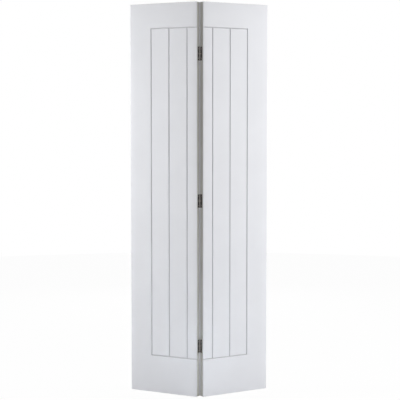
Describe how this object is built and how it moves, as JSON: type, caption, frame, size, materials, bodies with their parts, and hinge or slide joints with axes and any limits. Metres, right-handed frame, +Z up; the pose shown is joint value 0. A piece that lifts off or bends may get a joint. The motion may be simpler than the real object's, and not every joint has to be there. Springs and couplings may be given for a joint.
{
  "type": "bifold closet door",
  "caption": "Folding closet door of two tall primed leaves with a grooved plank pattern, hinged edge to edge on butt hinges, with sockets for pivots and a track guide.",
  "frame": {"origin": "on the floor, under the middle of the bounding box of the part-folded door", "axes": "+Z up; -Y towards the room, where the fold points; +X from the pivot leaf towards the guide leaf"},
  "size_m": [0.6994, 0.206, 1.981],
  "materials": {
    "primed_face": "grooved fibreboard skin under smooth white primer, satin",
    "primed_edge": "wood edge strip under smooth white primer, satin",
    "softwood": "planed bare softwood",
    "chipboard": "extruded chipboard with round tubes, bare",
    "hardwood": "turned hardwood dowel, bare",
    "nylon": "moulded off-white nylon",
    "hinge_steel": "rolled steel, polished and plated",
    "pin_steel": "drawn steel wire, plated",
    "screw_steel": "plated steel wood screw with a cross recess"
  },
  "bodies": {
    "pivot_leaf": {"pivot_leaf_front_skin": "primed_face", "pivot_leaf_back_skin": "primed_face", "pivot_leaf_outer_lipping": "primed_edge", "pivot_leaf_hinge_lipping": "primed_edge", "pivot_leaf_outer_stile": "softwood", "pivot_leaf_hinge_stile": "softwood", "pivot_leaf_top_rail": "softwood", "pivot_leaf_bottom_rail": "softwood", "pivot_leaf_tubular_core": "chipboard", "pivot_leaf_dowels": "hardwood", "pivot_leaf_top_socket": "nylon", "pivot_leaf_bottom_socket": "nylon", "top_hinge_pivot_plate": "hinge_steel", "top_hinge_pin": "pin_steel", "top_hinge_pivot_screws": "screw_steel", "middle_hinge_pivot_plate": "hinge_steel", "middle_hinge_pin": "pin_steel", "middle_hinge_pivot_screws": "screw_steel", "bottom_hinge_pivot_plate": "hinge_steel", "bottom_hinge_pin": "pin_steel", "bottom_hinge_pivot_screws": "screw_steel"},
    "guide_leaf": {"guide_leaf_front_skin": "primed_face", "guide_leaf_back_skin": "primed_face", "guide_leaf_outer_lipping": "primed_edge", "guide_leaf_hinge_lipping": "primed_edge", "guide_leaf_outer_stile": "softwood", "guide_leaf_hinge_stile": "softwood", "guide_leaf_top_rail": "softwood", "guide_leaf_bottom_rail": "softwood", "guide_leaf_tubular_core": "chipboard", "guide_leaf_dowels": "hardwood", "guide_leaf_top_socket": "nylon", "top_hinge_guide_plate": "hinge_steel", "top_hinge_guide_screws": "screw_steel", "middle_hinge_guide_plate": "hinge_steel", "middle_hinge_guide_screws": "screw_steel", "bottom_hinge_guide_plate": "hinge_steel", "bottom_hinge_guide_screws": "screw_steel"}
  },
  "joints": [
    {"name": "fold", "type": "hinge", "parent": "pivot_leaf", "child": "guide_leaf", "pos_m": [0, -0.07246, 0.9905], "axis": [0, 0, 1], "range_deg": [-55.6, 124.4]}
  ]
}
